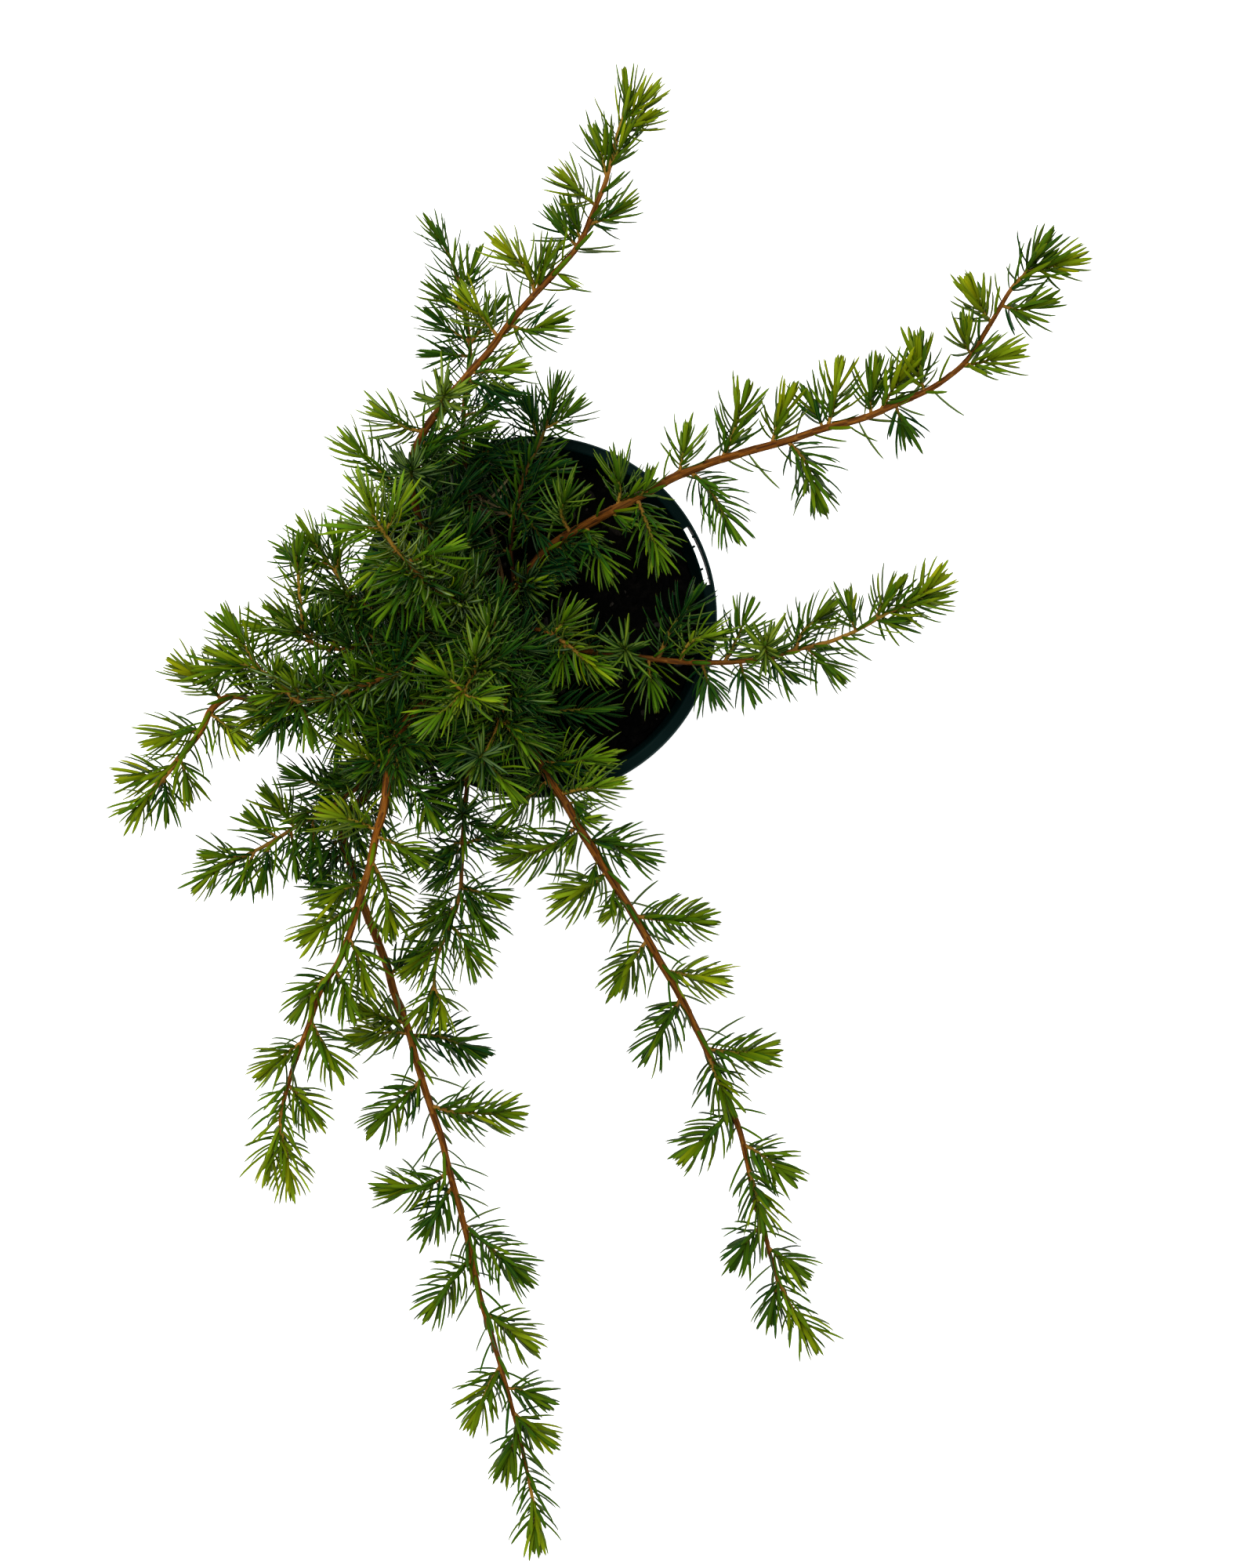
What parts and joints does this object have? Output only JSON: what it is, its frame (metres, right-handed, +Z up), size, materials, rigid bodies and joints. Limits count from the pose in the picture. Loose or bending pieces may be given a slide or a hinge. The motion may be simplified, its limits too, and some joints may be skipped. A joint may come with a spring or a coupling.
{
  "type": "potted shore juniper",
  "caption": "Young prostrate shore juniper with arching woody branches and short prickly needles in whorls, growing in a round tapered dark green nursery pot filled with bark potting mix.",
  "frame": {"origin": "centre of the pot's flat underside, where it rests on the floor", "axes": "+Z up, out of the pot's mouth; +Y towards the two long branches that rise on the far side; -Y along the longest branches; +X towards the side with the marking slot in the rim"},
  "size_m": [0.4136, 0.6494, 0.2696],
  "materials": {
    "pot_plastic": "satin",
    "potting_mix": "rough",
    "bark": "rough",
    "dry_twig": "rough",
    "needles": "satin"
  },
  "bodies": {
    "root": {"dry_twig": "dry_twig", "main_trunk": "bark", "needles_crown": "needles", "needles_crown_south": "needles", "needles_east": "needles", "needles_inner_east": "needles", "needles_inner_north": "needles", "needles_midsouth": "needles", "needles_north": "needles", "needles_north_low": "needles", "needles_northeast": "needles", "needles_northwest_high": "needles", "needles_northwest_low": "needles", "needles_south": "needles", "needles_southeast": "needles", "needles_southwest": "needles", "needles_west": "needles", "needles_west_high": "needles", "needles_west_low": "needles", "needles_west_mid": "needles", "nursery_pot": "pot_plastic", "potting_mix": "potting_mix", "stem_crown": "bark", "stem_crown_south": "bark", "stem_east": "bark", "stem_inner_east": "bark", "stem_inner_north": "bark", "stem_midsouth": "bark", "stem_north": "bark", "stem_north_low": "bark", "stem_northeast": "bark", "stem_northwest_high": "bark", "stem_northwest_low": "bark", "stem_south": "bark", "stem_southeast": "bark", "stem_southwest": "bark", "stem_west": "bark", "stem_west_high": "bark", "stem_west_low": "bark", "stem_west_mid": "bark"}
  },
  "joints": []
}
